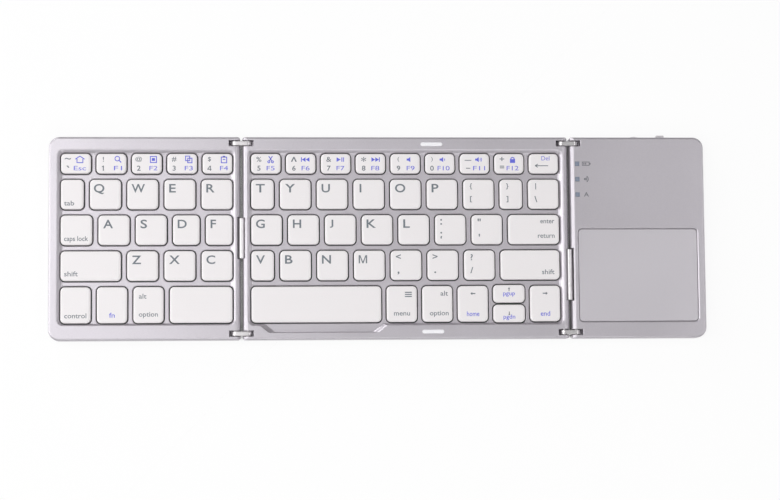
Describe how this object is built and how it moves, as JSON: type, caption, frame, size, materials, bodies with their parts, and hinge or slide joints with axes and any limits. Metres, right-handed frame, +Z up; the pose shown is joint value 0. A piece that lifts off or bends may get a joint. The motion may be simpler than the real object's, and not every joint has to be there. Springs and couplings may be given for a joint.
{
  "type": "folding keyboard",
  "caption": "Slim tri-fold keyboard: two key panels and a touchpad panel on double-pivot link hinges, with pressing keys, a slide switch and a pairing button.",
  "frame": {"origin": "on the resting surface under the middle of the open keyboard", "axes": "+X to the user's right along the keyboard, +Y to the rear edge, +Z up out of the keys"},
  "size_m": [0.3038, 0.0949, 0.0083],
  "materials": {
    "silver_casing": "fine metallic silver paint",
    "silver_base": "fine bead-blasted and anodised",
    "keycaps": "smooth satin",
    "touch_surface": "fine matt",
    "hinge_steel": "polished edge",
    "pad_rubber": "soft matt",
    "dome_rubber": "translucent silicone",
    "circuit_board": "solder mask",
    "battery_foil": "foil pouch",
    "socket_shell": "plated",
    "silver_controls": "satin",
    "light_guides": "clear"
  },
  "bodies": {
    "centre_panel": {"centre_bottom_cover": "silver_base", "centre_frame": "silver_casing", "centre_switch_sheet": "circuit_board", "centre_domes": "dome_rubber", "fold_bumpers": "pad_rubber", "cable_sleeves": "hinge_steel", "centre_feet": "pad_rubber"},
    "left_links": {"left_hinge_links": "hinge_steel", "left_hinge_pins": "hinge_steel"},
    "left_panel": {"left_bottom_cover": "silver_base", "left_frame": "silver_casing", "left_switch_sheet": "circuit_board", "left_domes": "dome_rubber", "left_feet": "pad_rubber"},
    "right_links": {"right_hinge_links": "hinge_steel", "right_hinge_pins": "hinge_steel"},
    "right_panel": {"right_bottom_cover": "silver_base", "right_top_cover": "silver_casing", "touchpad": "touch_surface", "touchpad_board": "circuit_board", "battery": "battery_foil", "main_board": "circuit_board", "charging_socket": "socket_shell", "led_windows": "light_guides", "right_feet": "pad_rubber"},
    "power_switch": {"power_switch": "silver_controls"},
    "pairing_button": {"pairing_button": "silver_controls"},
    "q_key": {"q_key": "keycaps"},
    "w_key": {"w_key": "keycaps"},
    "e_key": {"e_key": "keycaps"},
    "r_key": {"r_key": "keycaps"},
    "a_key": {"a_key": "keycaps"},
    "s_key": {"s_key": "keycaps"},
    "d_key": {"d_key": "keycaps"},
    "f_key": {"f_key": "keycaps"},
    "z_key": {"z_key": "keycaps"},
    "x_key": {"x_key": "keycaps"},
    "c_key": {"c_key": "keycaps"},
    "left_number_keys": {"left_number_keys": "keycaps"},
    "left_function_keys": {"left_function_keys": "keycaps"},
    "centre_number_keys": {"centre_number_keys": "keycaps"},
    "centre_punctuation_keys": {"centre_punctuation_keys": "keycaps"},
    "centre_function_keys": {"centre_function_keys": "keycaps"},
    "enter_key": {"enter_key": "keycaps"},
    "space_key": {"space_key": "keycaps"},
    "t_key": {"t_key": "keycaps"},
    "y_key": {"y_key": "keycaps"},
    "u_key": {"u_key": "keycaps"},
    "i_key": {"i_key": "keycaps"},
    "o_key": {"o_key": "keycaps"},
    "p_key": {"p_key": "keycaps"},
    "g_key": {"g_key": "keycaps"},
    "h_key": {"h_key": "keycaps"},
    "j_key": {"j_key": "keycaps"},
    "k_key": {"k_key": "keycaps"},
    "l_key": {"l_key": "keycaps"},
    "v_key": {"v_key": "keycaps"},
    "b_key": {"b_key": "keycaps"},
    "n_key": {"n_key": "keycaps"},
    "m_key": {"m_key": "keycaps"}
  },
  "joints": [
    {"name": "left_panel_fold", "type": "hinge", "parent": "left_links", "child": "left_panel", "pos_m": [-0.0666, 0, 0.0054], "axis": [0, 1, 0], "range_deg": [0, 90]},
    {"name": "left_link_fold", "type": "hinge", "parent": "centre_panel", "child": "left_links", "pos_m": [-0.061, 0, 0.0054], "axis": [0, 1, 0], "range_deg": [0, 90]},
    {"name": "right_panel_fold", "type": "hinge", "parent": "right_links", "child": "right_panel", "pos_m": [0.09105, 0, 0.0054], "axis": [0, -1, 0], "range_deg": [0, 90]},
    {"name": "right_link_fold", "type": "hinge", "parent": "centre_panel", "child": "right_links", "pos_m": [0.08545, 0, 0.0054], "axis": [0, -1, 0], "range_deg": [0, 90]},
    {"name": "power_switch_slide", "type": "slide", "parent": "right_panel", "child": "power_switch", "axis": [-1, 0, 0], "range_m": [0, 0.002]},
    {"name": "pairing_button_press", "type": "slide", "parent": "right_panel", "child": "pairing_button", "axis": [0, -1, 0], "range_m": [0, 0.0004], "stiffness_N_per_m": 1500, "springref_m": -0.0002},
    {"name": "q_key_press", "type": "slide", "parent": "left_panel", "child": "q_key", "axis": [0, 0, -1], "range_m": [0, 0.0014], "stiffness_N_per_m": 300, "springref_m": -0.0005, "deforming": ["left_domes"]},
    {"name": "w_key_press", "type": "slide", "parent": "left_panel", "child": "w_key", "axis": [0, 0, -1], "range_m": [0, 0.0014], "stiffness_N_per_m": 300, "springref_m": -0.0005, "deforming": ["left_domes"]},
    {"name": "e_key_press", "type": "slide", "parent": "left_panel", "child": "e_key", "axis": [0, 0, -1], "range_m": [0, 0.0014], "stiffness_N_per_m": 300, "springref_m": -0.0005, "deforming": ["left_domes"]},
    {"name": "r_key_press", "type": "slide", "parent": "left_panel", "child": "r_key", "axis": [0, 0, -1], "range_m": [0, 0.0014], "stiffness_N_per_m": 300, "springref_m": -0.0005, "deforming": ["left_domes"]},
    {"name": "a_key_press", "type": "slide", "parent": "left_panel", "child": "a_key", "axis": [0, 0, -1], "range_m": [0, 0.0014], "stiffness_N_per_m": 300, "springref_m": -0.0005, "deforming": ["left_domes"]},
    {"name": "s_key_press", "type": "slide", "parent": "left_panel", "child": "s_key", "axis": [0, 0, -1], "range_m": [0, 0.0014], "stiffness_N_per_m": 300, "springref_m": -0.0005, "deforming": ["left_domes"]},
    {"name": "d_key_press", "type": "slide", "parent": "left_panel", "child": "d_key", "axis": [0, 0, -1], "range_m": [0, 0.0014], "stiffness_N_per_m": 300, "springref_m": -0.0005, "deforming": ["left_domes"]},
    {"name": "f_key_press", "type": "slide", "parent": "left_panel", "child": "f_key", "axis": [0, 0, -1], "range_m": [0, 0.0014], "stiffness_N_per_m": 300, "springref_m": -0.0005, "deforming": ["left_domes"]},
    {"name": "z_key_press", "type": "slide", "parent": "left_panel", "child": "z_key", "axis": [0, 0, -1], "range_m": [0, 0.0014], "stiffness_N_per_m": 300, "springref_m": -0.0005, "deforming": ["left_domes"]},
    {"name": "x_key_press", "type": "slide", "parent": "left_panel", "child": "x_key", "axis": [0, 0, -1], "range_m": [0, 0.0014], "stiffness_N_per_m": 300, "springref_m": -0.0005, "deforming": ["left_domes"]},
    {"name": "c_key_press", "type": "slide", "parent": "left_panel", "child": "c_key", "axis": [0, 0, -1], "range_m": [0, 0.0014], "stiffness_N_per_m": 300, "springref_m": -0.0005, "deforming": ["left_domes"]},
    {"name": "left_number_keys_press", "type": "slide", "parent": "left_panel", "child": "left_number_keys", "axis": [0, 0, -1], "range_m": [0, 0.0014], "stiffness_N_per_m": 1500, "springref_m": -0.0005, "deforming": ["left_domes"]},
    {"name": "left_function_keys_press", "type": "slide", "parent": "left_panel", "child": "left_function_keys", "axis": [0, 0, -1], "range_m": [0, 0.0014], "stiffness_N_per_m": 2100, "springref_m": -0.0005, "deforming": ["left_domes"]},
    {"name": "centre_number_keys_press", "type": "slide", "parent": "centre_panel", "child": "centre_number_keys", "axis": [0, 0, -1], "range_m": [0, 0.0014], "stiffness_N_per_m": 2700, "springref_m": -0.0005, "deforming": ["centre_domes"]},
    {"name": "centre_punctuation_keys_press", "type": "slide", "parent": "centre_panel", "child": "centre_punctuation_keys", "axis": [0, 0, -1], "range_m": [0, 0.0014], "stiffness_N_per_m": 2400, "springref_m": -0.0005, "deforming": ["centre_domes"]},
    {"name": "centre_function_keys_press", "type": "slide", "parent": "centre_panel", "child": "centre_function_keys", "axis": [0, 0, -1], "range_m": [0, 0.0014], "stiffness_N_per_m": 2100, "springref_m": -0.0005, "deforming": ["centre_domes"]},
    {"name": "enter_key_press", "type": "slide", "parent": "centre_panel", "child": "enter_key", "axis": [0, 0, -1], "range_m": [0, 0.0014], "stiffness_N_per_m": 300, "springref_m": -0.0005, "deforming": ["centre_domes"]},
    {"name": "space_key_press", "type": "slide", "parent": "centre_panel", "child": "space_key", "axis": [0, 0, -1], "range_m": [0, 0.0014], "stiffness_N_per_m": 300, "springref_m": -0.0005, "deforming": ["centre_domes"]},
    {"name": "t_key_press", "type": "slide", "parent": "centre_panel", "child": "t_key", "axis": [0, 0, -1], "range_m": [0, 0.0014], "stiffness_N_per_m": 300, "springref_m": -0.0005, "deforming": ["centre_domes"]},
    {"name": "y_key_press", "type": "slide", "parent": "centre_panel", "child": "y_key", "axis": [0, 0, -1], "range_m": [0, 0.0014], "stiffness_N_per_m": 300, "springref_m": -0.0005, "deforming": ["centre_domes"]},
    {"name": "u_key_press", "type": "slide", "parent": "centre_panel", "child": "u_key", "axis": [0, 0, -1], "range_m": [0, 0.0014], "stiffness_N_per_m": 300, "springref_m": -0.0005, "deforming": ["centre_domes"]},
    {"name": "i_key_press", "type": "slide", "parent": "centre_panel", "child": "i_key", "axis": [0, 0, -1], "range_m": [0, 0.0014], "stiffness_N_per_m": 300, "springref_m": -0.0005, "deforming": ["centre_domes"]},
    {"name": "o_key_press", "type": "slide", "parent": "centre_panel", "child": "o_key", "axis": [0, 0, -1], "range_m": [0, 0.0014], "stiffness_N_per_m": 300, "springref_m": -0.0005, "deforming": ["centre_domes"]},
    {"name": "p_key_press", "type": "slide", "parent": "centre_panel", "child": "p_key", "axis": [0, 0, -1], "range_m": [0, 0.0014], "stiffness_N_per_m": 300, "springref_m": -0.0005, "deforming": ["centre_domes"]},
    {"name": "g_key_press", "type": "slide", "parent": "centre_panel", "child": "g_key", "axis": [0, 0, -1], "range_m": [0, 0.0014], "stiffness_N_per_m": 300, "springref_m": -0.0005, "deforming": ["centre_domes"]},
    {"name": "h_key_press", "type": "slide", "parent": "centre_panel", "child": "h_key", "axis": [0, 0, -1], "range_m": [0, 0.0014], "stiffness_N_per_m": 300, "springref_m": -0.0005, "deforming": ["centre_domes"]},
    {"name": "j_key_press", "type": "slide", "parent": "centre_panel", "child": "j_key", "axis": [0, 0, -1], "range_m": [0, 0.0014], "stiffness_N_per_m": 300, "springref_m": -0.0005, "deforming": ["centre_domes"]},
    {"name": "k_key_press", "type": "slide", "parent": "centre_panel", "child": "k_key", "axis": [0, 0, -1], "range_m": [0, 0.0014], "stiffness_N_per_m": 300, "springref_m": -0.0005, "deforming": ["centre_domes"]},
    {"name": "l_key_press", "type": "slide", "parent": "centre_panel", "child": "l_key", "axis": [0, 0, -1], "range_m": [0, 0.0014], "stiffness_N_per_m": 300, "springref_m": -0.0005, "deforming": ["centre_domes"]},
    {"name": "v_key_press", "type": "slide", "parent": "centre_panel", "child": "v_key", "axis": [0, 0, -1], "range_m": [0, 0.0014], "stiffness_N_per_m": 300, "springref_m": -0.0005, "deforming": ["centre_domes"]},
    {"name": "b_key_press", "type": "slide", "parent": "centre_panel", "child": "b_key", "axis": [0, 0, -1], "range_m": [0, 0.0014], "stiffness_N_per_m": 300, "springref_m": -0.0005, "deforming": ["centre_domes"]},
    {"name": "n_key_press", "type": "slide", "parent": "centre_panel", "child": "n_key", "axis": [0, 0, -1], "range_m": [0, 0.0014], "stiffness_N_per_m": 300, "springref_m": -0.0005, "deforming": ["centre_domes"]},
    {"name": "m_key_press", "type": "slide", "parent": "centre_panel", "child": "m_key", "axis": [0, 0, -1], "range_m": [0, 0.0014], "stiffness_N_per_m": 300, "springref_m": -0.0005, "deforming": ["centre_domes"]}
  ],
  "couplings": [
    {"joint": "left_panel_fold", "follows": "left_link_fold", "ratio": 1},
    {"joint": "right_panel_fold", "follows": "right_link_fold", "ratio": 1}
  ]
}
